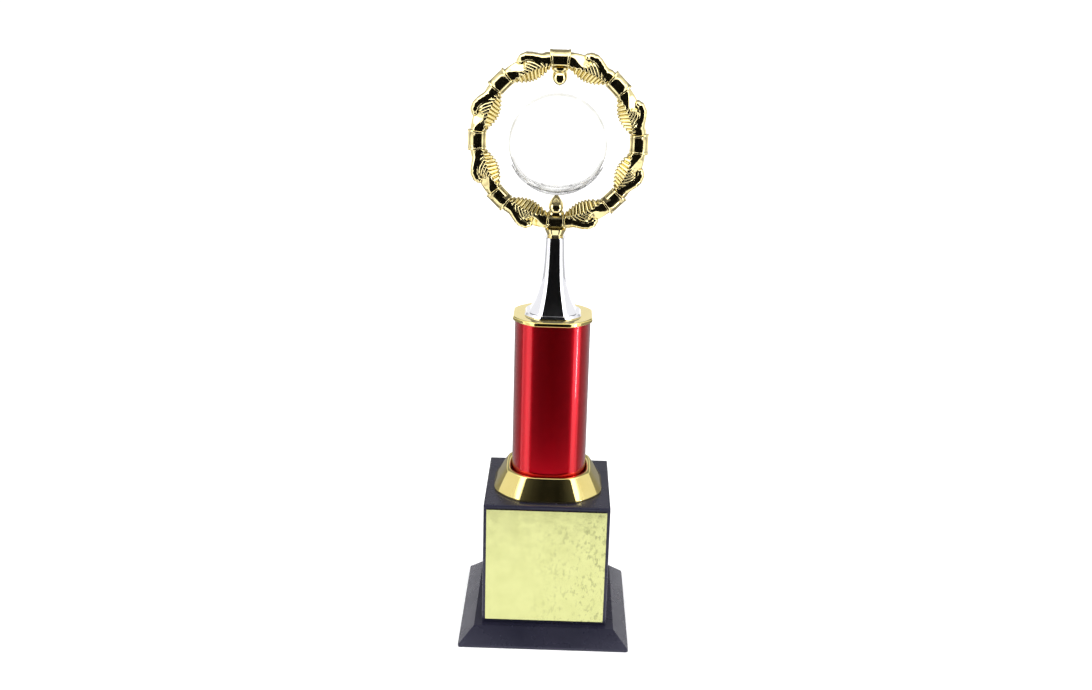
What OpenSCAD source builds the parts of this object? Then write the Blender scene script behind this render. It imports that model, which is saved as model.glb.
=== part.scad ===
// Column trophy: a gold wreath ring with a clear disc, on a chrome stem, a red column and a black base.
// Millimetres. +Z is up, the plate faces -Y, and the origin is the middle of the underside.

/* [Base] */
// Width of the bevelled plinth at its foot
plinth_w = 102; // [94:1:120]
// Width of the plinth's flat top
plinth_top_w = 84; // [80:1:90]
// Height of the plinth
plinth_h = 10; // [9:0.5:16]
// Height of the upright lip under the bevel
plinth_lip_h = 1.5; // [1:0.5:3]
// Width and depth of the base block
block_w = 75; // [70:1:78]
// Height of the base block
block_h = 77; // [60:1:90]
// Wall of the hollow base mouldings
base_wall = 2.5; // [2:0.5:4]
// Radius of the block's rounded edges
block_edge_r = 1; // [0.5:0.25:2]

/* [Plate] */
// Width of the front plate
plate_w = 71.2; // [50:0.2:73]
// Height of the front plate
plate_h = 72; // [50:0.2:74]
// Thickness of the front plate
plate_t = 0.7; // [0.5:0.1:1.5]
// Thickness of the adhesive sheet behind it
tape_t = 0.3; // [0.2:0.1:0.8]

/* [Column] */
// Width of the collar's foot across its flats
collar_foot_w = 65.6; // [60:0.2:70]
// Width of the collar's rim across its flats
collar_rim_w = 52.8; // [50:0.2:56]
// Height of the collar
collar_h = 13; // [10:0.5:18]
// Width of the column tube across its flats
tube_w = 44.6; // [40:0.2:46]
// Length of the column tube
tube_h = 105.6; // [80:0.2:140]
// Wall of the column tube
tube_wall = 1.6; // [1.2:0.1:2.5]
// Width of the column cap across its flats
cap_w = 46.6; // [46.4:0.2:48]
// Thickness of the column cap's plate
cap_h = 2.6; // [2:0.2:4]

/* [Stem] */
// Height of the riser stem
stem_h = 46; // [36:1:60]
// Width the stem narrows towards
stem_top_w = 10.8; // [10:0.2:13]
// How much wider the stem is just above its skirt
stem_flare_w = 20; // [14:1:24]
// Height over which the flare falls to about a third
stem_flare_fall = 13; // [9:1:18]
// Width of the skirt at the stem's foot
skirt_w = 33.2; // [32:0.2:36]
// Height of the ferrule between stem and ring
ferrule_h = 3.8; // [3:0.2:8]

/* [Ring] */
// Radius of the ring's centre line
ring_r = 46; // [44:0.5:48]
// Radius of the neck beside each sleeve
neck_r = 4.4; // [4:0.1:5]
// Radius of each sleeve
sleeve_r = 5.4; // [5.2:0.1:6]
// Length of each sleeve
sleeve_l = 11; // [9:0.5:12]
// Number of sleeves, with a wreath unit between each two
sleeve_count = 8; // [8:1:8]
// Height of the ring's centre above the ferrule's top
ring_rise = 51; // [50.5:0.1:52]

/* [Disc] */
// Radius of the clear disc
disc_r = 27.9; // [25:0.1:28]
// Thickness of the clear disc
disc_t = 8; // [6:0.5:10]
// Width of the bevel round each face of the disc
disc_bevel = 1.6; // [1:0.1:2.5]
// Thickness of the cradle, front to back
cradle_t = 11; // [10:0.5:13]

/* [Fasteners] */
// Radius of the threaded tie rod
rod_r = 2.5; // [2:0.5:3]
// Radial clearance of the holes that the rod passes through
rod_gap = 0.3; // [0.2:0.05:0.5]

/* [Hidden] */
$fn = 96;
eps = 0.01;
big = 400;

// Every section of the column is a square whose corners are arcs of one circle.
corner_ratio = 1.09;

// Heights of the joints between the pieces, from the ground up
block_z = plinth_h;
block_top_z = block_z + block_h;
collar_top_z = block_top_z + collar_h;
cap_z = block_top_z + tube_h;
stem_z = cap_z + cap_h;
ferrule_z = stem_z + stem_h;
ring_z = ferrule_z + ferrule_h + ring_rise;

// Plinth and block
plinth_bevel_w = (plinth_w - plinth_top_w) / 2;
plinth_corner_r = 1.5;
felt_t = 0.8;
felt_w = plinth_w - 8;
ballast_w = 62;
ballast_h = 42;

// Collar, tube and cap
collar_lip_h = 1.2;
collar_wall = 2.6;
collar_hole_w = tube_w + 1.2;
plug_h = 8;
plug_gap = 0.05;
spigot_h = 8;
cap_edge = 0.5;

// Stem
skirt_h = 1.7;
skirt_slope = 1;
stem_steps = 16;
stem_wall = 2.4;
stem_cavity_h = 12;

// Fasteners: an M5 rod with its nut and a wide washer
washer_r = 10;
washer_t = 1.2;
nut_w = 8;
nut_h = 3.6;
plinth_roof = 3;
washer_z = plinth_h - plinth_roof - washer_t;
nut_z = washer_z - nut_h;
rod_z = nut_z - 0.6;
rod_top_z = ferrule_z + ferrule_h - 1.4;

// Ring
sleeve_step = 360 / sleeve_count;
sleeve_lip = 0.25;
sleeve_lip_l = 1.3;
unit_arc = 30;
unit_r = 5.3;
frill_arc = 22;
frill_r = 3.1;
frill_in = 6.2;
shoulder_r = 5.8;
shoulder_turn = 5;
ring_cavity_r = 2.6;

// Bosses on the ring's inner side, one above and one below the disc
boss_r = 4.8;
boss_tip_r = 0.8;
boss_tenon_r = 1.8;
boss_tenon_l = 2;
boss_seat = ring_r - sleeve_r;
bead_r = 3.2;
bead_rise = 1.6;
upper_bead_h = 4.9;
lower_bead_h = 3.3;

// Disc and cradle
disc_z = ring_z - 0.7;
cradle_outer_r = 29;
cradle_drop = disc_r + 1.1;
cradle_z = disc_z - cradle_drop + cradle_outer_r;
cradle_cut_r = 34.3;
cradle_depth = 4.3;
cradle_bottom_z = disc_z - cradle_drop;
upper_tip_z = ring_z + 31.4;

// ---- shared shapes ----

// Half the stem's width at height h above its foot
function stem_half(h) = (stem_top_w + stem_flare_w * exp(-h / stem_flare_fall)) / 2;

// A square with rounded corners, as a plain union so that its arcs stay true
module rounded_square(w, r) {
    square([w, w - 2 * r], center = true);
    square([w - 2 * r, w], center = true);
    for (x = [-1, 1], y = [-1, 1])
        translate([x * (w / 2 - r), y * (w / 2 - r)])
            circle(r = r);
}

// The column's section: four flats joined by arcs
module flat_round(w) {
    intersection() {
        square([w, w], center = true);
        circle(d = w * corner_ratio);
    }
}

// A solid of that section whose half width follows an outline of [half width, height] points
module flared(outline) {
    last = len(outline) - 1;
    mirrored = concat(outline, [for (i = [last:-1:0]) [-outline[i][0], outline[i][1]]]);
    turned = concat(
        [[0, outline[0][1]]],
        [for (p = outline) [p[0] * corner_ratio, p[1]]],
        [[0, outline[last][1]]]
    );
    intersection() {
        rotate_extrude()
            polygon(turned);
        rotate([90, 0, 0])
            linear_extrude(height = big, center = true)
                polygon(mirrored);
        rotate([90, 0, 90])
            linear_extrude(height = big, center = true)
                polygon(mirrored);
    }
}

// A hole along the tie rod
module rod_hole(z, h) {
    translate([0, 0, z])
        cylinder(r = rod_r + rod_gap, h = h);
}

// ---- base ----

// A square slab whose sides slope from one width to another
module tapered_square(w_low, w_high, h, r) {
    outline = [[w_low / 2, 0], [w_high / 2, h], [-w_high / 2, h], [-w_low / 2, 0]];
    intersection() {
        linear_extrude(height = h)
            rounded_square(w_low, r);
        rotate([90, 0, 0])
            linear_extrude(height = big, center = true)
                polygon(outline);
        rotate([90, 0, 90])
            linear_extrude(height = big, center = true)
                polygon(outline);
    }
}

module base_plinth() {
    color("#2b2c33")
    difference() {
        union() {
            linear_extrude(height = plinth_lip_h)
                rounded_square(plinth_w, plinth_corner_r);
            translate([0, 0, plinth_lip_h])
                tapered_square(plinth_w, plinth_top_w, plinth_h - plinth_lip_h, plinth_corner_r);
        }
        translate([0, 0, -eps])
            linear_extrude(height = felt_t + eps)
                square([felt_w, felt_w], center = true);
        tapered_square(
            plinth_w - 4 * base_wall,
            plinth_w - 4 * base_wall - 2 * (plinth_h - plinth_roof) * plinth_bevel_w / plinth_h,
            plinth_h - plinth_roof,
            plinth_corner_r
        );
        rod_hole(0, plinth_h + 1);
    }
}

module base_felt() {
    color("#1d1d1f")
    linear_extrude(height = felt_t)
        square([felt_w - 0.2, felt_w - 0.2], center = true);
}

// Outline of the block seen from one side, with its two top edges rounded
module block_side() {
    square_h = block_h - block_edge_r;
    translate([-block_w / 2, 0])
        square([block_w, square_h]);
    translate([-block_w / 2 + block_edge_r, 0])
        square([block_w - 2 * block_edge_r, block_h]);
    for (x = [-1, 1])
        translate([x * (block_w / 2 - block_edge_r), square_h])
            circle(r = block_edge_r);
}

module base_block() {
    color("#232429")
    difference() {
        translate([0, 0, block_z])
            intersection() {
                linear_extrude(height = block_h)
                    rounded_square(block_w, block_edge_r);
                rotate([90, 0, 0])
                    linear_extrude(height = big, center = true)
                        block_side();
                rotate([90, 0, 90])
                    linear_extrude(height = big, center = true)
                        block_side();
            }
        translate([0, 0, block_z - eps])
            linear_extrude(height = block_h - base_wall)
                square([block_w - 2 * base_wall, block_w - 2 * base_wall], center = true);
        rod_hole(block_top_z - base_wall - 1, base_wall + 2);
    }
}

module ballast_block() {
    color("#9b978e")
    difference() {
        translate([0, 0, block_z])
            linear_extrude(height = ballast_h)
                rounded_square(ballast_w, 3);
        rod_hole(block_z - 1, ballast_h + 2);
    }
}

// ---- plate ----

// A flat sheet on the block's front, with its back at the given distance from the block
module front_sheet(gap, t, w, h) {
    translate([-w / 2, -block_w / 2 - gap - t, block_z + (block_h - h) / 2])
        cube([w, t, h]);
}

module front_plate() {
    color("#e9e79c")
    front_sheet(tape_t, plate_t, plate_w, plate_h);
}

module plate_tape() {
    color("#d8d8d0")
    front_sheet(0, tape_t, plate_w - 2, plate_h - 2);
}

// ---- column ----

module collar() {
    foot = collar_foot_w / 2;
    rim = collar_rim_w / 2;
    color("#e3cf72")
    difference() {
        translate([0, 0, block_top_z])
            flared([[foot, 0], [foot, collar_lip_h], [rim, collar_h - 0.4], [rim - 0.4, collar_h]]);
        translate([0, 0, block_top_z - eps])
            flared([
                [foot - collar_wall, 0],
                [foot - collar_wall, collar_lip_h],
                [collar_hole_w / 2, collar_h - collar_wall]
            ]);
        translate([0, 0, block_top_z])
            linear_extrude(height = collar_h + 1)
                flat_round(collar_hole_w);
    }
}

module column_tube() {
    color("#9c0f20")
    difference() {
        translate([0, 0, block_top_z])
            linear_extrude(height = tube_h)
                flat_round(tube_w);
        translate([0, 0, block_top_z - 1])
            linear_extrude(height = tube_h + 2)
                flat_round(tube_w - 2 * tube_wall);
    }
}

// A disc inside the tube that keeps the rod in the middle
module tube_plug(z) {
    color("#3a3a3a")
    difference() {
        translate([0, 0, z])
            linear_extrude(height = plug_h)
                flat_round(tube_w - 2 * tube_wall - 2 * plug_gap);
        rod_hole(z - 1, plug_h + 2);
    }
}

module tube_bottom_plug() {
    tube_plug(block_top_z);
}

module tube_top_plug() {
    tube_plug(cap_z - plug_h);
}

module column_cap() {
    half = cap_w / 2;
    color("#e8d67c")
    difference() {
        translate([0, 0, cap_z])
            flared([[half - cap_edge, 0], [half, cap_edge], [half, cap_h - cap_edge], [half - cap_edge, cap_h]]);
        rod_hole(cap_z - 1, cap_h + 2);
    }
}

// ---- stem ----

module riser_stem() {
    skirt = skirt_w / 2;
    flare_h = stem_h - skirt_h;
    steps = [
        for (i = [0:stem_steps])
            let (h = skirt_h + flare_h * pow(i / stem_steps, 1.6))
            [stem_half(h), h]
    ];
    outline = concat([[skirt, 0], [skirt, 0.5], [skirt - skirt_slope, skirt_h]], steps);
    color("#d9dbe2")
    difference() {
        translate([0, 0, stem_z])
            flared(outline);
        translate([0, 0, stem_z - eps])
            flared([for (h = [0:3:stem_cavity_h]) [stem_half(h + skirt_h) - stem_wall, h]]);
        rod_hole(stem_z - 1, stem_h + 2);
    }
}

module ring_ferrule() {
    half = stem_top_w / 2 + 0.1;
    waist = half - 0.5;
    color("#e3cf72")
    difference() {
        translate([0, 0, ferrule_z])
            flared([
                [half, 0], [half, 1.1], [waist, 1.4], [waist, 1.8],
                [half, ferrule_h - 0.4], [half, ferrule_h]
            ]);
        translate([0, 0, ferrule_z - 1])
            cylinder(r = rod_r, h = rod_top_z - ferrule_z + 1);
        in_ring_plane(ring_z)
            rotate(-90)
                sleeve();
    }
}

// ---- ring ----

// Stands a shape drawn in the XY plane up in the ring's plane, facing the front
module in_ring_plane(z) {
    translate([0, 0, z])
        rotate([90, 0, 0])
            children();
}

// Part of a round bar that follows the ring, centred on angle 0
module bar_arc(r, bar_r, arc) {
    rotate(-arc / 2)
        rotate_extrude(angle = arc)
            translate([r, 0])
                circle(r = bar_r, $fn = 48);
}

// A straight sleeve across the ring's centre line, with a raised lip at each end
module sleeve() {
    translate([ring_r, 0, 0])
        rotate([90, 0, 0]) {
            cylinder(r = sleeve_r, h = sleeve_l, center = true);
            for (side = [-1, 1])
                translate([0, 0, side * (sleeve_l - sleeve_lip_l) / 2])
                    cylinder(r = sleeve_r + sleeve_lip, h = sleeve_lip_l, center = true);
        }
}

// A wreath unit between two sleeves: its body, the shoulder outside and the frill inside
module wreath_unit() {
    bar_arc(ring_r, unit_r, unit_arc);
    bar_arc(ring_r - frill_in, frill_r, frill_arc);
    rotate(shoulder_turn)
        translate([ring_r + 0.1, 0, 0])
            sphere(r = shoulder_r);
}

module whole_ring() {
    in_ring_plane(ring_z)
        difference() {
            union() {
                rotate_extrude()
                    translate([ring_r, 0])
                        circle(r = neck_r, $fn = 48);
                for (i = [0:sleeve_count - 1]) {
                    rotate(i * sleeve_step)
                        sleeve();
                    rotate((i + 0.5) * sleeve_step)
                        wreath_unit();
                }
            }
            rotate_extrude()
                translate([ring_r, 0])
                    circle(r = ring_cavity_r, $fn = 48);
            for (side = [-1, 1])
                translate([0, side * (ring_r - frill_in), 0])
                    rotate([90, 0, 0])
                        cylinder(r = boss_tenon_r, h = 2 * frill_in, center = true);
        }
}

// The ring is moulded in two halves that meet in its middle plane.
module half_ring(side) {
    color("#e3c765")
    intersection() {
        whole_ring();
        translate([0, side * big / 2, ring_z])
            cube([big, big, big], center = true);
    }
}

module ring_front() {
    half_ring(-1);
}

module ring_back() {
    half_ring(1);
}

// ---- bosses ----

// An onion-shaped boss along +Z from its seat, with a round bead on its front at the given height
module boss(l, bead_h) {
    rotate_extrude()
        polygon([
            [0, -boss_tenon_l], [boss_tenon_r, -boss_tenon_l], [boss_tenon_r, 0],
            [boss_r * 0.72, 0], [boss_r * 0.95, l * 0.12], [boss_r, l * 0.28], [boss_r * 0.93, l * 0.44],
            [boss_r * 0.72, l * 0.6], [boss_r * 0.45, l * 0.78], [boss_tip_r, l], [0, l]
        ]);
    translate([0, -boss_r + bead_r - bead_rise, bead_h])
        sphere(r = bead_r, $fn = 48);
}

module upper_boss() {
    l = ring_z + boss_seat - upper_tip_z;
    color("#e3c765")
    translate([0, 0, ring_z + boss_seat])
        mirror([0, 0, 1])
            boss(l, upper_bead_h);
}

module lower_boss() {
    l = cradle_bottom_z - (ring_z - boss_seat);
    color("#e3c765")
    translate([0, 0, ring_z - boss_seat])
        boss(l, lower_bead_h);
}

// ---- disc ----

module clear_disc() {
    rim = disc_r - disc_bevel;
    color("#f2f4f2", 0.3)
    in_ring_plane(disc_z)
        rotate_extrude()
            polygon([
                [0, -disc_t / 2], [rim, -disc_t / 2], [disc_r, -disc_t / 2 + disc_bevel],
                [disc_r, disc_t / 2 - disc_bevel], [rim, disc_t / 2], [0, disc_t / 2]
            ]);
}

module disc_cradle() {
    color("#eef0ee", 0.3)
    difference() {
        in_ring_plane(cradle_z)
            cylinder(r = cradle_outer_r, h = cradle_t, center = true);
        in_ring_plane(cradle_bottom_z + cradle_depth + cradle_cut_r)
            cylinder(r = cradle_cut_r, h = cradle_t + 2, center = true);
        clear_disc();
    }
}

// ---- fasteners ----

module tie_rod() {
    color("#b9bcc2")
    translate([0, 0, rod_z])
        cylinder(r = rod_r, h = rod_top_z - rod_z);
}

module bottom_washer() {
    color("#b9bcc2")
    difference() {
        translate([0, 0, washer_z])
            cylinder(r = washer_r, h = washer_t);
        rod_hole(washer_z - 1, washer_t + 2);
    }
}

module bottom_nut() {
    color("#c8b46a")
    difference() {
        translate([0, 0, nut_z])
            cylinder(d = nut_w / cos(30), h = nut_h, $fn = 6);
        translate([0, 0, nut_z - 1])
            cylinder(r = rod_r, h = nut_h + 2);
    }
}

base_plinth();
base_felt();
base_block();
ballast_block();
front_plate();
plate_tape();
collar();
column_tube();
tube_bottom_plug();
tube_top_plug();
column_cap();
riser_stem();
ring_ferrule();
ring_front();
ring_back();
upper_boss();
lower_boss();
disc_cradle();
clear_disc();
tie_rod();
bottom_washer();
bottom_nut();
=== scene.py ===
"""Column trophy: a gold wreath ring round a clear disc, on a chrome stem, a red column and a black base
with a blank gold plate. Metres, +Z up, front towards -Y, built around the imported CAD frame."""
import math

import bmesh
import bpy
import numpy as np
from mathutils import Matrix, Vector


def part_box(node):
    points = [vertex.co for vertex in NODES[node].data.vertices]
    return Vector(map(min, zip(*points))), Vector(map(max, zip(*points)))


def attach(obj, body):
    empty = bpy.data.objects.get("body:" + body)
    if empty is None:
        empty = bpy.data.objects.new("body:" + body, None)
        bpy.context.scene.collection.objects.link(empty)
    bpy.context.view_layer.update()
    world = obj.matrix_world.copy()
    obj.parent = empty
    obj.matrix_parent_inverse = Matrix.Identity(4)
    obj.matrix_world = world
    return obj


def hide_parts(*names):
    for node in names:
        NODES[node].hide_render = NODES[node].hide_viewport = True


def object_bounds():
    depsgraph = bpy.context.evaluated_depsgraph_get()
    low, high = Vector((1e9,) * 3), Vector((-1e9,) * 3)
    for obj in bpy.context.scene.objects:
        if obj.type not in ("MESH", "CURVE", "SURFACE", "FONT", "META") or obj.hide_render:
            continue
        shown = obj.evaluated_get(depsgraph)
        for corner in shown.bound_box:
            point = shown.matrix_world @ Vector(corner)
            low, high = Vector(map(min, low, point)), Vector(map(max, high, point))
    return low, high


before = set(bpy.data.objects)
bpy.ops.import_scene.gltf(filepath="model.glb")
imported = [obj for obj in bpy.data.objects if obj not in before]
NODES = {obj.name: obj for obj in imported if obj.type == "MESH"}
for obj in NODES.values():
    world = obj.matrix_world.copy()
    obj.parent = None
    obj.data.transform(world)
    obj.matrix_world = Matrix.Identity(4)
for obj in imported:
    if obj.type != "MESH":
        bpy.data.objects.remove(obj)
CAD_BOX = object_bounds()
MM = 0.001

# The camera: its place, its tilt downwards, its turn and roll, and its lens and sensor in millimetres
CAMERA_PLACE = Vector((0.00324, -0.71285, 0.3937))
CAMERA_DOWN = math.radians(17.05)
CAMERA_TURN = math.radians(0.55)
CAMERA_ROLL = math.radians(1.59)
CAMERA_LENS = 41.21
SENSOR_WIDTH = 36

# The column's section is a square cut by a circle: the circle's radius for a half width of 1, as in the CAD
CORNER_RATIO = 1.085
# How much the tube's flats bulge, as a curvature in 1/mm
TUBE_CROWN = 1 / 42

# The ring, in millimetres: its centre line and the sleeves on it
RING_R = 46.0
SLEEVE_R = 5.3
SLEEVE_HALF = 5.4
# The round lip at each end of a sleeve
LIP_RISE = 0.25
LIP_W = 1.3
# The ornament between two sleeves: its narrow ends, and the ribs on its front and along its inner edge
NECK_R = 4.4
FRONT_RIB_DEPTH = 0.8
EDGE_RIB_DEPTH = 1.3
RIB_PITCH = 2.5
# The groove along the plane in which the two mouldings meet
SEAM = 0.06
# The ring repeats one unit, from the middle of a sleeve to the middle of the next
UNITS = 8
UNIT_ARC = 2 * math.pi * RING_R / UNITS

# The studio's light as radiance, by where it stands round the trophy
HORIZON = 0.98
CEILING = 2.8
ZENITH = 1.2
BACK = 0.32
SOFTBOX = 3.2
DARK = 0.006
# The dark end round the camera: the direction of its middle and its half width
DARK_TURN = math.radians(2)
DARK_HALF = math.radians(49)
# What the camera sees behind the trophy, and the floor's own glow
BACKDROP = 1.05
FLOOR_GLOW = 0.33

# Curved cards round the trophy: name, distance, foot, top, first and last angle, tone and glow
CARDS = [
    ("collar_card", 0.11, 0.1, 0.21, -41, 46, 0.008, 0.0),
    ("column_card", 0.2, 0.03, 0.23, -43, 48, 0.008, 0.0),
    ("ring_card", 0.11, 0.21, 0.42, -48, 52, 0.008, 0.0),
    ("left_softbox", 0.215, 0.001, 0.21, -60, -42, 0.5, 1.25),
    ("left_soft_edge", 0.217, 0.001, 0.21, -74, -60, 0.5, 0.4),
    ("right_softbox", 0.215, 0.001, 0.21, 47, 64, 0.5, 1.3),
    ("right_soft_edge", 0.217, 0.001, 0.21, 64, 76, 0.5, 0.5),
    ("left_cloth", 0.22, 0.001, 0.145, -180, -83, 0.2, 0.08),
    ("right_cloth", 0.22, 0.001, 0.145, 78, 180, 0.2, 0.08),
    ("highlight_strip", 0.205, 0.085, 0.15, 60, 62.5, 0.5, 32.0),
]
# Cloths just above the floor: their height, then name, near and far edge, first and last angle, tone and glow
CLOTH_Z = 1 * MM
CLOTHS = [
    ("dark_cloth", 0.25, 5.5, -47, 51, 0.008, 0.0),
    ("left_grey_cloth", 0.26, 5.5, -112, -86, 0.4, 0.1),
    ("right_grey_cloth", 0.26, 5.5, 86, 112, 0.4, 0.1),
    ("back_grey_cloth", 0.3, 5.5, 112, 248, 0.5, 0.6),
]
# The dark cards that glow a little towards their sides: from which angle off their middle, and how much
SHADED_CARDS = ("collar_card", "column_card")
SHADE_FROM = math.radians(5)
SHADE = 0.09


# ---- small helpers ----

def box_centre(node):
    low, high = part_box(node)
    return (low + high) / 2


def finish_mesh(name, verts, faces, sharp_deg=38.0, weighted=True):
    """A new object from points and faces, smooth apart from edges sharper than the angle."""
    mesh = bpy.data.meshes.new(name)
    mesh.from_pydata([tuple(v) for v in verts], [], [tuple(f) for f in faces])
    bm = bmesh.new()
    bm.from_mesh(mesh)
    bmesh.ops.recalc_face_normals(bm, faces=bm.faces)
    bm.to_mesh(mesh)
    bm.free()
    mesh.polygons.foreach_set("use_smooth", [True] * len(mesh.polygons))
    mesh.set_sharp_from_angle(angle=math.radians(sharp_deg))
    obj = bpy.data.objects.new(name, mesh)
    bpy.context.scene.collection.objects.link(obj)
    if weighted:
        obj.modifiers.new("even_normals", "WEIGHTED_NORMAL").keep_sharp = True
    return obj


def settle(obj, nodes, material):
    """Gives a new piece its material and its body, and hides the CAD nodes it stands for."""
    obj.data.materials.clear()
    obj.data.materials.append(material)
    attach(obj, "root")
    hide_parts(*nodes)
    return obj


def rounded(outline, radius, steps=4, closed=False):
    """The outline with each corner over 4 degrees turned into an arc, which cuts up to 45% off its sides."""
    out = []
    count = len(outline)
    for i, p in enumerate(outline):
        if not closed and i in (0, count - 1):
            out.append(p)
            continue
        a, b = outline[i - 1], outline[(i + 1) % count]
        to_a = Vector((a[0] - p[0], a[1] - p[1]))
        to_b = Vector((b[0] - p[0], b[1] - p[1]))
        corner = math.pi - to_a.angle(to_b)
        if corner < math.radians(4):
            out.append(p)
            continue
        cut = min(radius * math.tan(corner / 2), 0.45 * to_a.length, 0.45 * to_b.length)
        start = Vector(p) + to_a.normalized() * cut
        end = Vector(p) + to_b.normalized() * cut
        for k in range(steps + 1):
            t = k / steps
            q = start * (1 - t) ** 2 + Vector(p) * 2 * t * (1 - t) + end * t ** 2
            out.append((q.x, q.y))
    return out


# ---- the column's pieces ----

def section_angles():
    """Angles round the section, closer together at its creases."""
    crease = math.degrees(math.acos(1 / CORNER_RATIO))
    near_crease = (-5, -4, -3, -2, -1.2, -0.6, 0, 0.6, 1.2, 2, 3, 4, 5)
    quarter = [-45 + 3 * k for k in range(30)]
    for side in (-1, 1):
        quarter += [side * crease + step for step in near_crease]
    quarter = sorted(set(round(a, 3) for a in quarter if -45 <= a < 45))
    return [math.radians(a + 90 * k) for k in range(4) for a in quarter]


def smooth_min(a, b, k):
    """The smaller of two values, with a rounded change-over that is k wide."""
    h = np.clip(0.5 + 0.5 * (b - a) / k, 0, 1)
    return b * (1 - h) + a * h - k * h * (1 - h)


def section(half, crease, crown=0.0):
    """Points of the section of a given half width, with rounded creases and, with a crown, bulging flats.
    The crown is the flats' curvature in 1/mm."""
    points = []
    for a in section_angles():
        from_flat = abs((a + math.pi / 4) % (math.pi / 2) - math.pi / 4)
        along = half * math.tan(from_flat) / MM
        flat = half / math.cos(from_flat) - crown * along ** 2 / 2 * MM
        r = smooth_min(flat, half * CORNER_RATIO, crease)
        points.append((r * math.sin(a), -r * math.cos(a)))
    return points


def loft(name, outline, hollow, crease, crown=0.0):
    """The section swept through an outline of (half width, height). A hollow outline closes on itself."""
    verts, faces = [], []
    count = len(section_angles())
    for half, z in outline:
        verts += [(x, y, z) for x, y in section(half, crease, crown)]
    rows = len(outline)
    for row in range(rows if hollow else rows - 1):
        nxt = (row + 1) % rows
        for i in range(count):
            j = (i + 1) % count
            faces.append((row * count + i, row * count + j, nxt * count + j, nxt * count + i))
    if not hollow:
        for row in (0, rows - 1):
            verts.append((0, 0, outline[row][1]))
            centre = len(verts) - 1
            faces += [(row * count + i, row * count + (i + 1) % count, centre) for i in range(count)]
    return finish_mesh(name, verts, faces)


def make_tube(material):
    """The red tube, with slightly bulging flats and softened ends."""
    low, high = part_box("column_tube")
    half, wall = high.x + 0.1 * MM, 1.6 * MM
    heights = np.linspace(low.z, high.z, 12)
    outside = [(half, z) for z in heights]
    inside = [(half - wall, z) for z in heights[::-1]]
    outline = rounded(outside + inside, 0.2 * MM, 2, closed=True)
    tube = loft("red_column", outline, hollow=True, crease=1.9 * MM, crown=TUBE_CROWN)
    return settle(tube, ["column_tube"], material)


def make_collar(material):
    """The flared collar, hollow, with a round rim that just clears the tube."""
    low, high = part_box("collar")
    foot, rim = high.x, high.x - 6.4 * MM
    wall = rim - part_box("column_tube")[1].x - 0.4 * MM
    foot_z, lip_z = low.z + 0.05 * MM, low.z + 1.2 * MM
    roll = wall / 2
    over_rim = np.linspace(0.5, 2.8, 14)
    top = [(rim - roll + roll * math.cos(a), high.z - roll + roll * math.sin(a)) for a in over_rim]
    base = [(foot - wall, foot_z), (foot, foot_z), (foot, lip_z), top[0]]
    inside = [(rim - wall, high.z - wall), (foot - wall, lip_z)]
    outline = rounded(base, 0.4 * MM, 5)[:-1] + top + inside
    collar = loft("flared_collar", outline, hollow=True, crease=2.6 * MM)
    return settle(collar, ["collar"], material)


def make_cap(material):
    """The flat plate on the tube, with a rounded edge."""
    low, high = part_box("column_cap")
    half, edge = high.x, 0.5 * MM
    inner = half - 8 * MM
    outline = [
        (inner, low.z), (half - edge, low.z), (half, low.z + edge),
        (half, high.z - edge), (half - edge, high.z), (inner, high.z),
    ]
    cap = loft("column_cap_plate", rounded(outline, 0.45 * MM, 5), hollow=False, crease=0.45 * MM)
    return settle(cap, ["column_cap"], material)


def make_stem(material):
    """The stem: a low sloped skirt, a flare that dies away upwards, and a small lip at its top."""
    low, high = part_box("riser_stem")
    skirt, skirt_h = high.x, 1.7 * MM
    top, flare, fall = 5.4 * MM, 10 * MM, 13 * MM
    steps = 40
    heights = [skirt_h + (high.z - low.z - skirt_h) * (k / steps) ** 1.5 for k in range(steps + 1)]
    curve = [(top + flare * math.exp(-h / fall), low.z + h) for h in heights]
    foot = [
        (skirt - 3 * MM, low.z), (skirt, low.z), (skirt, low.z + 0.5 * MM), (skirt - 1 * MM, low.z + skirt_h),
    ]
    lip = [(curve[-1][0] + 0.3 * MM, high.z)]
    curve = [p for p in curve if p[1] < high.z - 0.9 * MM]
    stem = loft("chrome_stem", rounded(foot, 0.3 * MM, 4) + curve + lip, hollow=False, crease=0.3 * MM)
    return settle(stem, ["riser_stem"], material)


def make_ferrule(material):
    """A low upright foot with a fine rib round it, and a cone that opens up into the ring's sleeve."""
    low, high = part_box("ring_ferrule")
    half, top = high.x, high.z + 1.2 * MM
    waist, inner = half - 1 * MM, half - 2 * MM
    outline = [
        (inner, low.z), (waist, low.z), (waist + 0.2 * MM, low.z + 0.3 * MM), (waist, low.z + 0.4 * MM),
        (waist, low.z + 0.9 * MM), (half + 0.8 * MM, top), (inner, top),
    ]
    ferrule = loft("ring_coupling", rounded(outline, 0.12 * MM, 3), hollow=False, crease=0.15 * MM)
    return settle(ferrule, ["ring_ferrule"], material)


# ---- the wreath ring ----

def smooth_max(a, b, k):
    """The larger of two values, with a rounded change-over that is k wide."""
    return -smooth_min(-a, -b, k)


def ease(value, start, end):
    """0 before start, 1 after end, smooth between."""
    t = np.clip((value - start) / (end - start), 0, 1)
    return t * t * (3 - 2 * t)


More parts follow.
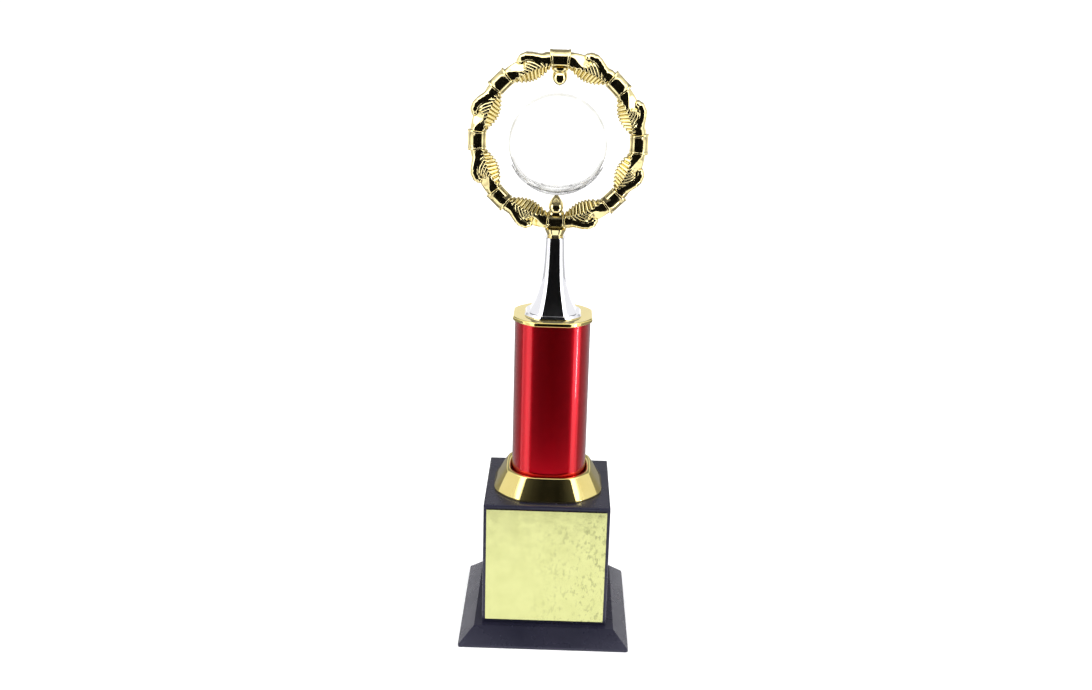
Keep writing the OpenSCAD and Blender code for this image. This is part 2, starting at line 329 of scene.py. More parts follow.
def body_distance(s, q, d):
    """Rough distance to the ornament's body in millimetres: s along the ring, q outwards, d to the front.
    An oval that swells inwards, cut by a flat front and by two slopes: one down to its inner edge, one to its
    outer edge."""
    outer = NECK_R - 0.1
    inner = NECK_R + 0.2 + 5.2 * np.clip(1 - (s / 13) ** 2, 0, 1)
    deep = NECK_R - 0.2 + 2.0 * ease(s, -10.0, -3.0) * (1 - ease(s, 0.0, 11.0))
    offset, half_across = (outer - inner) / 2, (outer + inner) / 2
    oval = (np.sqrt(((q - offset) / half_across) ** 2 + (d / (deep * 1.08)) ** 2) - 1) * deep
    front = d - deep
    frill_from, frill_edge = 3.4, 1.4
    slope = np.arctan2(deep - frill_edge, np.maximum(inner - frill_from, 0.6))
    frill = front * np.cos(slope) + (-q - frill_from) * np.sin(slope)
    cuff_from = np.interp(s, (-13.0, -8.0, -5.0, -2.5, 0.5), (3.5, -0.5, -2.0, -1.4, 4.5))
    slope = np.arctan2(deep - 1.2, 4.8 - cuff_from)
    cuff = front * np.cos(slope) + (q - cuff_from) * np.sin(slope)
    body = smooth_max(smooth_max(oval, front, 0.5), frill, 0.3)
    return smooth_max(body, cuff, 0.4)


def arm_distance(s, q, d):
    """Distance to the arm that climbs from the right-hand sleeve over the body and ends in a round shoulder.
    Its path is points of (s, q, d, radius), joined by tapered rods."""
    path = [(-3.2, 3.8, 2.0, 2.2), (-1.6, 4.5, 2.6, 2.45), (0.6, 4.5, 3.0, 2.5), (2.8, 3.6, 3.2, 2.5),
            (5.0, 2.3, 2.8, 2.65), (7.4, 0.9, 1.9, 3.1), (10.0, 0.2, 0.6, 3.85), (14.0, 0.0, 0.0, 4.15)]
    p = np.stack([s, q, d], -1)
    best = np.full(s.shape, 1e9)
    for (*start, start_r), (*end, end_r) in zip(path[:-1], path[1:]):
        along = np.array(end) - start
        t = np.clip(((p - start) @ along) / (along @ along), 0, 1)
        gap = np.linalg.norm(p - (start + t[..., None] * along), axis=-1) - (start_r + (end_r - start_r) * t)
        best = smooth_min(best, gap, 0.25)
    return best


def surface_radius(distance, s, turn, reach=12.0, steps=40, halvings=10):
    """How far out the surface lies from the centre line, at s and turned by 'turn' from the outer edge: steps
    inwards from the reach until inside, then halvings between the last two."""
    cos, sin = np.cos(turn), np.sin(turn)
    outside = np.full(s.shape, reach)
    inside = np.full(s.shape, np.nan)
    for r in np.linspace(reach, 0.3, steps):
        found = np.isnan(inside) & (distance(s, r * cos, r * sin) < 0)
        inside[found] = r
        outside[np.isnan(inside)] = r
    missed = np.isnan(inside)
    inside[missed] = 0.0
    for _ in range(halvings):
        middle = (inside + outside) / 2
        is_in = distance(s, middle * cos, middle * sin) < 0
        inside = np.where(is_in, middle, inside)
        outside = np.where(is_in, outside, middle)
    return np.where(missed, 0.1, (inside + outside) / 2)


def rib_height(u, fullness):
    """Ribs with sharp valleys between them, from 0 in a valley to 1 on a rib; full ribs are rounder."""
    over_rib = 2 * (u / RIB_PITCH - np.floor(u / RIB_PITCH)) - 1
    return (1 - 0.98 * over_rib ** 2) ** fullness


def sleeve_radius(along, turn):
    """The straight sleeve with a round lip and a softened edge at each end, from the bent centre line."""
    bend = RING_R / np.cos(along / RING_R) - RING_R
    place = np.abs(along)
    lip_at, soft = SLEEVE_HALF - LIP_W / 2, 0.3
    lip = np.sqrt(np.clip(1 - ((place - lip_at) / (LIP_W / 2)) ** 2, 0, 1))
    edge = np.sqrt(np.clip(1 - ((place - SLEEVE_HALF + soft) / soft) ** 2, 0, 1))
    r = SLEEVE_R + LIP_RISE * lip - soft * np.where(place > SLEEVE_HALF - soft, 1 - edge, 0)
    return np.where(place < SLEEVE_HALF, r + bend * np.cos(turn), 0)


def unit_stations():
    """Places along one unit, from sleeve middle to sleeve middle, close together where detail is fine."""
    half, gap = UNIT_ARC / 2, 0.02
    barrel = np.linspace(0, SLEEVE_HALF - LIP_W, 3)[:-1]
    lip = np.linspace(SLEEVE_HALF - LIP_W, SLEEVE_HALF - gap, 11)
    side = np.concatenate([barrel, lip])
    reach = half - SLEEVE_HALF - gap
    ornament = np.linspace(-reach, reach, 160)
    return np.concatenate([side - half, ornament, half - side[::-1]])


def unit_surface(turn_count=64):
    """One unit of the ring as grids of place along the ring, radius and turn. The body's rows of points lean,
    so that the ribs, which follow them, run slanted over its front and its inner edge."""
    u, turn = np.meshgrid(unit_stations(), np.linspace(0, math.pi, turn_count), indexing="ij")
    q = surface_radius(body_distance, u, turn) * np.cos(turn)
    lean = 1.0 + np.where(q > -3, q, -3 - 0.25 * (q + 3))
    share = ease(u, -12.6, -3.0) * (1 - ease(u, 3.0, 12.6))
    s = u - share * lean
    body = surface_radius(body_distance, s, turn)
    q = body * np.cos(turn)
    front_ribs = FRONT_RIB_DEPTH * ease((s - q) / math.sqrt(2), -2.4, -1.5) * (1 - rib_height(u, 0.5))
    edge_ribs = EDGE_RIB_DEPTH * ease(-q, 3.0, 4.6) * (1 - rib_height(u, 0.9))
    ribbed = ease(u, -12.4, -10.6) * (1 - ease(u, 13.0, 14.6))
    body = body - np.maximum(front_ribs, edge_ribs) * ribbed
    radius = smooth_max(body, surface_radius(arm_distance, s, turn), 0.2)
    for side in (-1, 1):
        radius = np.maximum(radius, sleeve_radius(s - side * UNIT_ARC / 2, turn))
    radius[:, 0] -= SEAM
    radius[:, -1] -= SEAM
    return s, radius, turn


def make_ring(material):
    """The ring's two mouldings, which meet in the middle plane and mirror each other."""
    centre = box_centre("ring_front").z
    s, radius, turn = unit_surface()
    units = []
    for unit in range(UNITS):
        angle = (unit + 0.5) * 2 * math.pi / UNITS + s[:-1] / RING_R
        out = (RING_R + radius[:-1] * np.cos(turn[:-1])) * MM
        front = radius[:-1] * np.sin(turn[:-1]) * MM
        units.append(np.stack([out * np.sin(angle), front, centre + out * np.cos(angle)], -1))
    points = np.concatenate(units)
    rows, in_row = points.shape[:2]
    row = np.arange(rows)[:, None] * in_row
    next_row = ((np.arange(rows) + 1) % rows)[:, None] * in_row
    k = np.arange(in_row)[None]
    next_k = (k + 1) % in_row
    faces = np.stack([row + k, row + next_k, next_row + next_k, next_row + k], -1).reshape(-1, 4).tolist()
    for name, node, side in (("wreath_front", "ring_front", -1), ("wreath_back", "ring_back", 1)):
        verts = points.reshape(-1, 3) * np.array([1, side, 1])
        half = finish_mesh(name, verts, faces, sharp_deg=50, weighted=False)
        settle(half, [node], material)


def lathe(name, outline, axis_place, towards, around=64):
    """A turned solid: an outline of (radius, height) spun about the direction 'towards'."""
    verts, faces = [], []
    for r, h in outline:
        for k in range(around):
            a = 2 * math.pi * k / around
            verts.append(Vector((r * math.cos(a), r * math.sin(a), h)))
    rows = len(outline)
    for row in range(rows - 1):
        for k in range(around):
            j = (k + 1) % around
            faces.append((row * around + k, row * around + j, (row + 1) * around + j, (row + 1) * around + k))
    for row in (0, rows - 1):
        verts.append(Vector((0, 0, outline[row][1])))
        centre = len(verts) - 1
        faces += [(row * around + k, row * around + (k + 1) % around, centre) for k in range(around)]
    turn = Vector((0, 0, 1)).rotation_difference(Vector(towards)).to_matrix()
    verts = [turn @ v + Vector(axis_place) for v in verts]
    return finish_mesh(name, verts, faces)


def smooth_curve(points, steps=6):
    """A Catmull-Rom curve through the points of an outline."""
    ext = [points[0]] + list(points) + [points[-1]]
    out = []
    for i in range(1, len(ext) - 2):
        p0, p1, p2, p3 = (Vector(ext[i + k - 1]) for k in range(4))
        for k in range(steps):
            t = k / steps
            q = 0.5 * ((2 * p1) + (p2 - p0) * t + (2 * p0 - 5 * p1 + 4 * p2 - p3) * t ** 2
                       + (3 * p1 - p0 - 3 * p2 + p3) * t ** 3)
            out.append((max(q.x, 0.0), q.y))
    out.append(tuple(points[-1]))
    return out


def join(name, parts):
    """One object from several, with their meshes as they are."""
    bm = bmesh.new()
    for part in parts:
        bm.from_mesh(part.data)
    mesh = bpy.data.meshes.new(name)
    bm.to_mesh(mesh)
    bm.free()
    for part in parts:
        bpy.data.objects.remove(part)
    obj = bpy.data.objects.new(name, mesh)
    bpy.context.scene.collection.objects.link(obj)
    return obj


def make_boss(node, name, seat_z, tip_z, bead_h, material):
    """An onion-shaped boss from the ring towards the disc, with a domed bead on its front."""
    up = 1 if tip_z > seat_z else -1
    height = abs(tip_z - seat_z)
    top = height - bead_h
    body = [
        (4.9 * MM, -1.2 * MM), (4.7 * MM, 0.0), (3.9 * MM, bead_h * 0.3), (4.1 * MM, bead_h * 0.6),
        (4.3 * MM, bead_h), (3.9 * MM, bead_h + top * 0.3), (2.6 * MM, bead_h + top * 0.6),
        (1.2 * MM, bead_h + top * 0.85), (0.3 * MM, height),
    ]
    onion = lathe(name + "_onion", smooth_curve(body), (0, 0, seat_z), (0, 0, up))
    dome_r, reach = 4.6 * MM, math.radians(42)
    edge, sink = dome_r * math.sin(reach), dome_r * math.cos(reach)
    rim, buried = 0.5 * MM, -3 * MM
    bead = [
        (0.1 * MM, buried), (edge + rim, buried), (edge + rim, -0.2 * MM),
        (edge + rim * 0.6, 0.0), (edge, -0.1 * MM),
    ]
    bead += [(dome_r * math.sin(a), dome_r * math.cos(a) - sink) for a in np.linspace(reach, 0.02, 16)]
    front = lathe(name + "_bead", bead, (0, -4.3 * MM, seat_z + up * bead_h), (0, -1, 0), 48)
    return settle(join(name, [onion, front]), [node], material)


# ---- the disc and its cradle ----

def make_disc(material):
    """The thick clear disc, with a bevelled rim."""
    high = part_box("clear_disc")[1]
    centre = box_centre("clear_disc")
    r, half_t, bevel, hub = high.x, high.y, 1.6 * MM, 0.5 * MM
    outline = [
        (hub, -half_t), (r - bevel, -half_t), (r, -half_t + bevel),
        (r, half_t - bevel), (r - bevel, half_t), (hub, half_t),
    ]
    disc = lathe("glass_disc", rounded(outline, 0.15 * MM, 3), (centre.x, 0, centre.z), (0, -1, 0), 160)
    return settle(disc, ["clear_disc"], material)


def crescent(low_z, steps=48):
    """The cradle's lower arc and its flatter upper arc, which meet in two tips. Both run left to right."""
    outer_r, cut_r, depth = 29 * MM, 34.3 * MM, 4.3 * MM
    outer_z, cut_z = low_z + outer_r, low_z + depth + cut_r
    rise = cut_z - outer_z
    meet_z = (outer_r ** 2 - cut_r ** 2 + rise ** 2) / (2 * rise)
    span = math.acos(-meet_z / outer_r)
    reach = math.asin(outer_r * math.sin(span) / cut_r)
    below, above = np.linspace(-span, span, steps), np.linspace(-reach, reach, steps)
    lower = [(outer_r * math.sin(a), outer_z - outer_r * math.cos(a)) for a in below]
    upper = [(cut_r * math.sin(a), cut_z - cut_r * math.cos(a)) for a in above]
    return lower, upper


def drawn_in(loop, spine, inset):
    """The loop's points moved towards the spine by the inset, but at most 70% of the way."""
    out = []
    for p, m in zip(loop, spine):
        away = Vector((p[0] - m[0], p[1] - m[1]))
        room = max(away.length - inset, away.length * 0.3)
        out.append(Vector(m) + away.normalized() * room)
    return out


def make_cradle(material):
    """A clear crescent under the disc, extruded front to back, with bevelled edges."""
    low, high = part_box("disc_cradle")
    lower, upper = crescent(low.z)
    middle = [((a[0] + b[0]) / 2, (a[1] + b[1]) / 2) for a, b in zip(lower, upper)]
    loop = lower + upper[::-1][1:-1]
    spine = middle + middle[::-1][1:-1]
    count = len(loop)
    half_t, bevel = high.y, 0.4 * MM
    verts, faces = [], []
    for y, inset in ((-half_t, bevel), (-half_t + bevel, 0), (half_t - bevel, 0), (half_t, bevel)):
        verts += [(p.x, y, p.y) for p in drawn_in(loop, spine, inset)]
    last = 3 * count
    for a in range(0, last, count):
        b = a + count
        faces += [(a + k, a + (k + 1) % count, b + (k + 1) % count, b + k) for k in range(count)]
    for base in (0, last):
        for k in range(len(lower) - 1):
            corners = dict.fromkeys((k, k + 1, count - k - 1, (count - k) % count))
            faces.append([base + corner for corner in corners])
    cradle = finish_mesh("disc_crescent", verts, faces, sharp_deg=30, weighted=False)
    return settle(cradle, ["disc_cradle"], material)


# ---- materials ----

def new_material(name, **sockets):
    """A material with the given values on its shader's sockets, named with _ for a space."""
    mat = bpy.data.materials.new(name)
    mat.use_nodes = True
    bsdf = mat.node_tree.nodes["Principled BSDF"]
    for key, value in sockets.items():
        bsdf.inputs[key.replace("_", " ")].default_value = value
    return mat


def feed(mat, value, socket):
    mat.node_tree.links.new(value, mat.node_tree.nodes["Principled BSDF"].inputs[socket])


def math_node(owner, operation, *values):
    """A maths node in a material or world, over values that are numbers or other nodes' outputs."""
    node = owner.node_tree.nodes.new("ShaderNodeMath")
    node.operation = operation
    for value, socket in zip(values, node.inputs):
        if isinstance(value, (int, float)):
            socket.default_value = value
        else:
            owner.node_tree.links.new(value, socket)
    return node.outputs[0]


def product(owner, a, b):
    return math_node(owner, "MULTIPLY", a, b)


def split_axes(owner, space):
    """The x, y and z of texture coordinates in the given space."""
    coord = owner.node_tree.nodes.new("ShaderNodeTexCoord")
    split = owner.node_tree.nodes.new("ShaderNodeSeparateXYZ")
    owner.node_tree.links.new(coord.outputs[space], split.inputs[0])
    return split.outputs


def turn_from_front(owner, x, y):
    """The angle round the trophy from its front, growing to the right."""
    return math_node(owner, "ARCTAN2", x, product(owner, y, -1.0))


def noise(mat, scale, detail=3.0, stretch=(1, 1, 1)):
    """Noise over the object's own coordinates; scale is features per metre."""
    tree = mat.node_tree
    coord = tree.nodes.new("ShaderNodeTexCoord")
    mapping = tree.nodes.new("ShaderNodeMapping")
    mapping.inputs["Scale"].default_value = stretch
    tex = tree.nodes.new("ShaderNodeTexNoise")
    tex.inputs["Scale"].default_value = scale
    tex.inputs["Detail"].default_value = detail
    tex.inputs["Roughness"].default_value = 0.55
    tree.links.new(coord.outputs["Object"], mapping.inputs["Vector"])
    tree.links.new(mapping.outputs["Vector"], tex.inputs["Vector"])
    return tex.outputs["Fac"]


def ramp(mat, value, stops):
    """A colour ramp with stops of (place, (r, g, b))."""
    node = mat.node_tree.nodes.new("ShaderNodeValToRGB")
    mat.node_tree.links.new(value, node.inputs["Fac"])
    elements = node.color_ramp.elements
    while len(elements) < len(stops):
        elements.new(0.5)
    for element, (place, colour) in zip(elements, stops):
        element.position = place
        element.color = (*colour, 1)
    return node.outputs["Color"]


def spread(mat, value, low, high, at=(0.3, 0.7)):
    """The value's usual range mapped onto low..high."""
    node = mat.node_tree.nodes.new("ShaderNodeMapRange")
    node.inputs["From Min"].default_value, node.inputs["From Max"].default_value = at
    node.inputs["To Min"].default_value, node.inputs["To Max"].default_value = low, high
    mat.node_tree.links.new(value, node.inputs["Value"])
    return node.outputs["Result"]


def darken_for_scuffs_and_shade(mat, colour, scuff_and_shade_mask, amount):
    """The colour darkened where the mask is, by the given amount at most: real scuffs on the plate, painted
    shade in the ring's folds.
    """
    node = mat.node_tree.nodes.new("ShaderNodeMix")
    node.data_type = "RGBA"
    node.inputs["B"].default_value = (0, 0, 0, 1)
    mat.node_tree.links.new(product(mat, scuff_and_shade_mask, amount), node.inputs["Factor"])
    mat.node_tree.links.new(colour, node.inputs["A"])
    return node.outputs["Result"]


def across(mat, start, end):
    """0 to 1 from left to right over the object, between two places in metres."""
    return spread(mat, split_axes(mat, "Object")["X"], 0.0, 1.0, at=(start, end))


def bump(mat, value, depth, strength=1.0):
    """Bump of a real depth in metres."""
    node = mat.node_tree.nodes.new("ShaderNodeBump")
    node.inputs["Strength"].default_value = strength
    node.inputs["Distance"].default_value = depth
    mat.node_tree.links.new(value, node.inputs["Height"])
    return node.outputs["Normal"]


def black_plastic():
    """Satin black moulding with a fine grain and a bluish sheen."""
    mat = new_material("black_plastic", Metallic=0.0, Specular_IOR_Level=0.5, Specular_Tint=(0.8, 0.8, 1, 1))
    tones = [(0.3, (0.014, 0.014, 0.028)), (0.7, (0.020, 0.019, 0.036))]
    feed(mat, ramp(mat, noise(mat, 40, 4), tones), "Base Color")
    feed(mat, spread(mat, noise(mat, 60, 3), 0.24, 0.3), "Roughness")
    feed(mat, bump(mat, noise(mat, 2600, 2), 0.00002, 0.5), "Normal")
    return mat


def gold_plastic(name, deep, pale, crease_shade=0.0):
    """Bright gold plating. With a crease shade amount, its sharp inward folds, found from the mesh's
    pointiness, get painted shade: the colour darkened by up to that amount.
    """
    mat = new_material(name, Metallic=1.0)
    plating = ramp(mat, noise(mat, 60, 3), [(0.3, deep), (0.7, pale)])
    # Painted shade: darkens the colour in the sharp inward folds, where the pointiness is low.
    if crease_shade:
        folds = mat.node_tree.nodes.new("ShaderNodeNewGeometry").outputs["Pointiness"]
        plating = darken_for_scuffs_and_shade(mat, plating, spread(mat, folds, 1.0, 0.0, at=(0.44, 0.5)), crease_shade)
    feed(mat, plating, "Base Color")
    feed(mat, spread(mat, noise(mat, 150, 4), 0.05, 0.1), "Roughness")
    feed(mat, bump(mat, noise(mat, 700, 2), 0.00001, 0.3), "Normal")
    return mat


def chrome_plastic():
    mat = new_material("chrome_plastic", Metallic=1.0)
    tones = [(0.3, (0.86, 0.86, 0.90)), (0.7, (0.91, 0.91, 0.94))]
    feed(mat, ramp(mat, noise(mat, 60, 3), tones), "Base Color")
    feed(mat, spread(mat, noise(mat, 150, 4), 0.04, 0.09), "Roughness")
    feed(mat, bump(mat, noise(mat, 700, 2), 0.00001, 0.2), "Normal")
    return mat


def red_foil():
    """Metallic red foil under a clear coat, its grain running up the column."""
    mat = new_material("red_foil", Metallic=0.9, Coat_Weight=1.0, Coat_Roughness=0.05, Coat_IOR=1.36)
    tones = [(0.2, (0.54, 0.0015, 0.010)), (0.8, (0.60, 0.002, 0.013))]
    feed(mat, ramp(mat, noise(mat, 300, 4, stretch=(1, 1, 0.06)), tones), "Base Color")
    feed(mat, spread(mat, noise(mat, 700, 3, stretch=(1, 1, 0.03)), 0.23, 0.27), "Roughness")
    return mat


def gold_sheet():
    """Satin gold film with a faint cloudiness and, mostly on the right, small dark scuffs."""
    mat = new_material("gold_sheet", Metallic=1.0)
    tones = [(0.3, (0.585, 0.60, 0.262)), (0.6, (0.62, 0.635, 0.285))]
    film = ramp(mat, noise(mat, 120, 5), tones)
    scuffs = spread(mat, noise(mat, 560, 2, stretch=(1, 1, 0.6)), 0.0, 1.0, at=(0.54, 0.66))
    to_the_right = across(mat, -0.014, 0.03)
    patches = product(mat, to_the_right, spread(mat, noise(mat, 60, 2), 0.0, 1.0, at=(0.3, 0.5)))
    feed(mat, darken_for_scuffs_and_shade(mat, film, product(mat, scuffs, patches), 0.33), "Base Color")
    feed(mat, spread(mat, noise(mat, 200, 5), 0.16, 0.26), "Roughness")
    feed(mat, bump(mat, noise(mat, 420, 3), 0.00003, 0.5), "Normal")
    return mat


def clear(name, roughness, ior, ripple):
    """Clear glass or acrylic with a faintly rippled surface, still without a tint."""
    mat = new_material(name, Transmission_Weight=1.0, IOR=ior, Metallic=0.0)
    feed(mat, spread(mat, noise(mat, 80, 3), roughness * 0.5, roughness), "Roughness")
    feed(mat, bump(mat, noise(mat, 300, 2), ripple), "Normal")
    return mat


def tint_streaks(mat, scale, tint):
    """Tints a clear piece in uneven streaks."""
    streaks = noise(mat, scale, 2, stretch=(0.4, 1, 1))
    feed(mat, ramp(mat, streaks, [(0.4, tint), (0.6, (1.0, 1.0, 1.0))]), "Base Color")
    return mat


def painted_rim_refraction(mat, centre_z, start, end, tint):
    """Painted refraction: tints the clear disc darker and a little yellow towards its rim, in place of the
    gold ring seen through the bevel.
    """
    x, _, z = split_axes(mat, "Object")
    up = math_node(mat, "SUBTRACT", z, centre_z)
    out = math_node(mat, "SQRT", math_node(mat, "ADD", product(mat, x, x), product(mat, up, up)))
    rim = spread(mat, out, 0.0, 1.0, at=(start, end))
    rim_refraction_mask = product(mat, rim, spread(mat, noise(mat, 60, 3), 0.3, 1.0))
    feed(mat, ramp(mat, rim_refraction_mask, [(0.0, (1.0, 1.0, 0.99)), (1.0, tint)]), "Base Color")
    return mat


def plain(name, low, high, rough, metallic=0.0, scale=300.0, depth=0.00005):
    """A hidden piece's material: two tones, a spread of roughness and a fine grain."""
    mat = new_material(name, Metallic=metallic)
    feed(mat, ramp(mat, noise(mat, scale, 4), [(0.3, low), (0.7, high)]), "Base Color")
    feed(mat, spread(mat, noise(mat, scale * 2, 3), rough - 0.06, rough + 0.06), "Roughness")
    feed(mat, bump(mat, noise(mat, scale * 4, 2), depth, 0.6), "Normal")
    return mat


def soften(node, width, material, segments=3):
    """Gives a CAD node its material and, with a width, rounds its sharp edges."""
    obj = NODES[node]
    obj.modifiers.new("weld", "WELD").merge_threshold = 1e-6
    if width:
        bevel = obj.modifiers.new("soft_edges", "BEVEL")
        bevel.width, bevel.segments = width, segments
        bevel.limit_method, bevel.angle_limit = "ANGLE", math.radians(25)
        bevel.harden_normals = False
        obj.modifiers.new("even_normals", "WEIGHTED_NORMAL").keep_sharp = True
    obj.data.materials.clear()
    obj.data.materials.append(material)
    return obj


# ---- stage ----

def stage_mesh(name, verts, faces, tone, glow=0.0):
    """A stage piece of one grey tone, which may glow white."""
    mesh = bpy.data.meshes.new(name)
    mesh.from_pydata(verts, [], faces)
    obj = bpy.data.objects.new(name, mesh)
    bpy.context.scene.collection.objects.link(obj)
    mat = new_material(name, Base_Color=(tone, tone, tone, 1), Roughness=0.9, Specular_IOR_Level=0.0,
                       Emission_Color=(1, 1, 1, 1), Emission_Strength=glow)
    mesh.materials.append(mat)
    return obj


def make_floor():
    r, z = 6.0, CAD_BOX[0].z - 0.2 * MM
    verts = [(-r, -r, z), (r, -r, z), (r, r, z), (-r, r, z)]
    return stage_mesh("floor", verts, [(0, 1, 2, 3)], 0.86, FLOOR_GLOW)


def hide_card(card):
    """Leaves a card to be mirrored only: it isn't seen directly, through the glass, or as a shadow."""
    card.visible_camera = False
    card.visible_shadow = False
    card.visible_diffuse = False
    card.visible_transmission = False


def shade_card(mat):
    """Makes a dark card glow faintly towards its sides, like the dark end of the studio behind it."""
    x, y, _ = split_axes(mat, "Object")
    off = math_node(mat, "ABSOLUTE", math_node(mat, "SUBTRACT", turn_from_front(mat, x, y), DARK_TURN))
    feed(mat, spread(mat, off, 0.0, SHADE, at=(SHADE_FROM, DARK_HALF)), "Emission Strength")


def curved_card(name, near, far, foot, top, first, last, tone, glow):
    """A strip round the trophy between two angles, from a near edge at the foot to a far edge at the top."""
    angles = np.radians(np.linspace(first, last, 41))
    verts = [(r * math.sin(a), -r * math.cos(a), z) for r, z in ((near, foot), (far, top)) for a in angles]
    n = len(angles)
    faces = [(k, k + 1, n + k + 1, n + k) for k in range(n - 1)]
    card = stage_mesh(name, verts, faces, tone, glow)
    hide_card(card)
    return card


def make_cards():
    """Upright curved cards and flat cloths round the trophy, which only its reflections show."""
    for name, away, foot, top, first, last, tone, glow in CARDS:
        card = curved_card(name, away, away, foot, top, first, last, tone, glow)
        if name in SHADED_CARDS:
            shade_card(card.data.materials[0])
    for name, near, far, first, last, tone, glow in CLOTHS:
        curved_card(name, near, far, CLOTH_Z, CLOTH_Z, first, last, tone, glow)


def make_shade():
    """A small card inside the ring, bright above and dark below, that darkens the folds by the lower boss."""
    wide, front, back = 20 * MM, -26 * MM, 8 * MM
    top = box_centre("ring_front").z - 24 * MM
    for name, z, tone, glow in (("shade_above", top, 0.5, 0.9), ("shade_below", top - 0.2 * MM, 0.1, 0.06)):
        verts = [(-wide, front, z), (wide, front, z), (wide, back, z), (-wide, back, z)]
        hide_card(stage_mesh(name, verts, [(0, 1, 2, 3)], tone, glow))


def make_world():
    """Soft studio light: a bright ceiling, a tall softbox on each side and a dark end round the camera.
    The camera itself, and what it sees through the glass, gets plain white."""
    world = bpy.data.worlds.new("studio")
    world.use_nodes = True
    tree = world.node_tree
    tree.nodes.clear()

    def step(value, start, end):
        """0 on the start's side and 1 on the end's side of two angles in degrees, smooth between them."""
        node = tree.nodes.new("ShaderNodeMapRange")
        node.interpolation_type = "SMOOTHSTEP"
        tree.links.new(value, node.inputs["Value"])
        node.inputs["From Min"].default_value = math.radians(start)
        node.inputs["From Max"].default_value = math.radians(end)
        return node.outputs["Result"]

    def both(a, b):
        return product(world, a, b)

    def blend(base, level, mask):
        """The base where the mask is 0, the level where it is 1."""
        return math_node(world, "MULTIPLY_ADD", math_node(world, "SUBTRACT", level, base), mask, base)

    x, y, z = split_axes(world, "Generated")
    turn = turn_from_front(world, x, y)
    rise = math_node(world, "ARCSINE", z)
    side = math_node(world, "ABSOLUTE", turn)
    ceiling = both(step(rise, 38, 44), step(side, 112, 84))
    zenith = step(rise, 62, 72)
    back = both(step(side, 118, 138), step(rise, 17, 23))
    softboxes = both(both(step(side, 51, 57), step(side, 78, 70)), step(rise, 60, 50))
    off_middle = math_node(world, "ABSOLUTE", math_node(world, "SUBTRACT", turn, DARK_TURN))
    edge = math.degrees(DARK_HALF)
    dark_end = both(step(off_middle, edge + 2, edge - 2), step(rise, 38, 34))
    light = blend(HORIZON, CEILING, ceiling)
    light = blend(light, ZENITH, zenith)
    light = blend(light, BACK, back)
    light = blend(light, SOFTBOX, softboxes)
    light = blend(light, DARK, dark_end)
    path = tree.nodes.new("ShaderNodeLightPath")
    straight = math_node(world, "MAXIMUM", path.outputs["Is Camera Ray"], path.outputs["Is Transmission Ray"])
    light = blend(light, BACKDROP, straight)
    background = tree.nodes.new("ShaderNodeBackground")
    background.inputs["Color"].default_value = (1, 1, 1, 1)
    tree.links.new(light, background.inputs["Strength"])
    output = tree.nodes.new("ShaderNodeOutputWorld")
    tree.links.new(background.outputs[0], output.inputs[0])
    bpy.context.scene.world = world


def make_camera():
    data = bpy.data.cameras.new("camera")
    data.lens, data.sensor_width = CAMERA_LENS, SENSOR_WIDTH
    data.clip_start, data.clip_end = 0.01, 50
    cam = bpy.data.objects.new("camera", data)
    bpy.context.scene.collection.objects.link(cam)
    turn = (Matrix.Rotation(CAMERA_TURN, 3, "Z") @ Matrix.Rotation(math.pi / 2 - CAMERA_DOWN, 3, "X")
            @ Matrix.Rotation(CAMERA_ROLL, 3, "Z"))
    cam.location = CAMERA_PLACE
    cam.rotation_euler = turn.to_euler()
    bpy.context.scene.camera = cam


def make_base():
    """The plinth, the block and its plate, whose CAD shapes only need soft edges and a finish."""
    black = black_plastic()
    soften("base_plinth", 0.35 * MM, black)
    soften("base_block", 0.0, black)
    soften("front_plate", 0.12 * MM, gold_sheet(), 2)


def make_column():
    trim = gold_plastic("gold_trim", (0.83, 0.68, 0.24), (0.88, 0.74, 0.29))
    make_tube(red_foil())
    make_collar(trim)
    make_cap(trim)
    make_stem(chrome_plastic())


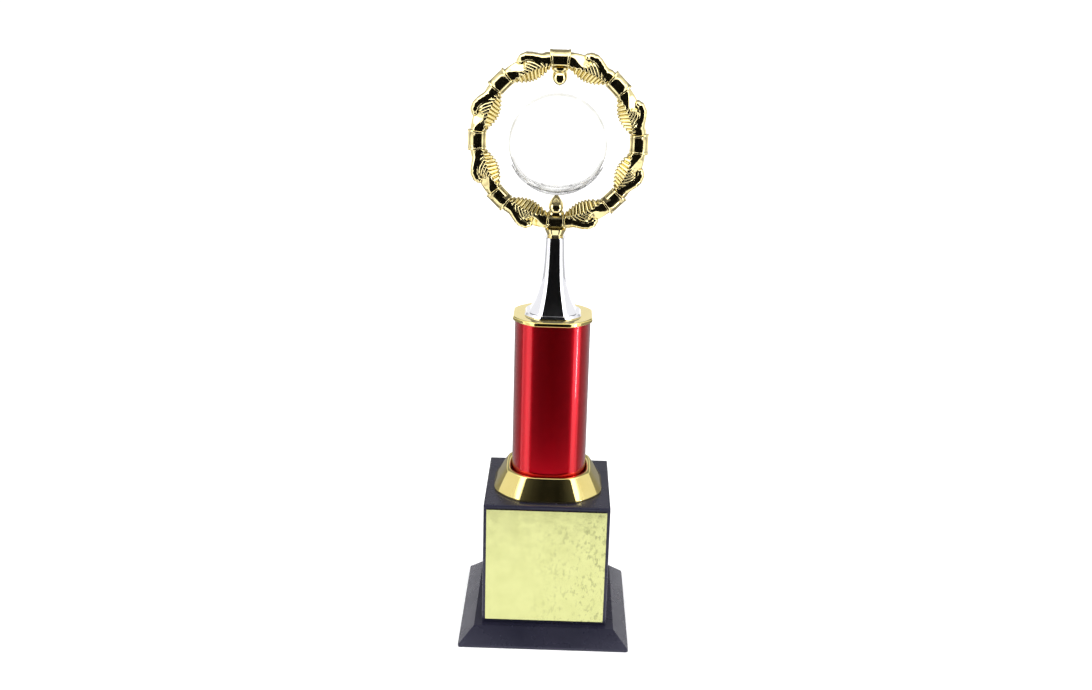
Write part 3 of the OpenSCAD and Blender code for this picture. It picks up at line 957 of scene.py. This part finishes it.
def make_wreath():
    """The ferrule, the ring and its two bosses, which sit on the ring's inside."""
    # The last value is the painted shade that darkens the ring's folds.
    gold = gold_plastic("gold_plastic", (0.83, 0.70, 0.35), (0.89, 0.77, 0.40), 0.85)
    make_ferrule(gold)
    make_ring(gold)
    ring_z, seat = box_centre("ring_front").z, 40.2 * MM
    upper_tip, lower_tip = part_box("upper_boss")[0].z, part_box("lower_boss")[1].z
    make_boss("upper_boss", "boss_above_disc", ring_z + seat, upper_tip, 4.5 * MM, gold)
    make_boss("lower_boss", "boss_below_disc", ring_z - seat, lower_tip, 2.9 * MM, gold)


def make_clear_pieces():
    rim, disc_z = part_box("clear_disc")[1].x, box_centre("clear_disc").z
    glass = clear("clear_glass", 0.02, 1.35, 0.00001)
    # Painted refraction: a darker yellowish band towards the disc's rim.
    make_disc(painted_rim_refraction(glass, disc_z, rim - 1.8 * MM, rim - 0.9 * MM, (0.24, 0.23, 0.18)))
    acrylic = clear("clear_acrylic", 0.04, 1.5, 0.0004)
    make_cradle(tint_streaks(acrylic, 130, (0.66, 0.66, 0.67)))


def finish_hidden_pieces():
    """The pieces inside, which keep their CAD shapes."""
    felt = plain("felt", (0.01, 0.01, 0.012), (0.03, 0.03, 0.033), 0.9, scale=900, depth=0.0003)
    cement = plain("cement", (0.35, 0.33, 0.3), (0.55, 0.53, 0.48), 0.85, scale=250, depth=0.0004)
    tape = plain("foam_tape", (0.7, 0.7, 0.66), (0.82, 0.82, 0.78), 0.6)
    grey = plain("grey_plastic", (0.04, 0.04, 0.045), (0.06, 0.06, 0.065), 0.45)
    steel = plain("zinc_steel", (0.5, 0.5, 0.53), (0.62, 0.62, 0.64), 0.35, metallic=1.0)
    brass = plain("brass", (0.6, 0.42, 0.16), (0.75, 0.56, 0.24), 0.3, metallic=1.0)
    hidden = (
        ("base_felt", felt), ("ballast_block", cement), ("plate_tape", tape), ("tube_bottom_plug", grey),
        ("tube_top_plug", grey), ("tie_rod", steel), ("bottom_washer", steel), ("bottom_nut", brass),
    )
    for node, material in hidden:
        soften(node, 0, material)


make_base()
make_column()
make_wreath()
make_clear_pieces()
finish_hidden_pieces()
make_floor()
make_cards()
make_shade()
make_world()
make_camera()
bpy.context.scene.view_settings.view_transform = "Standard"
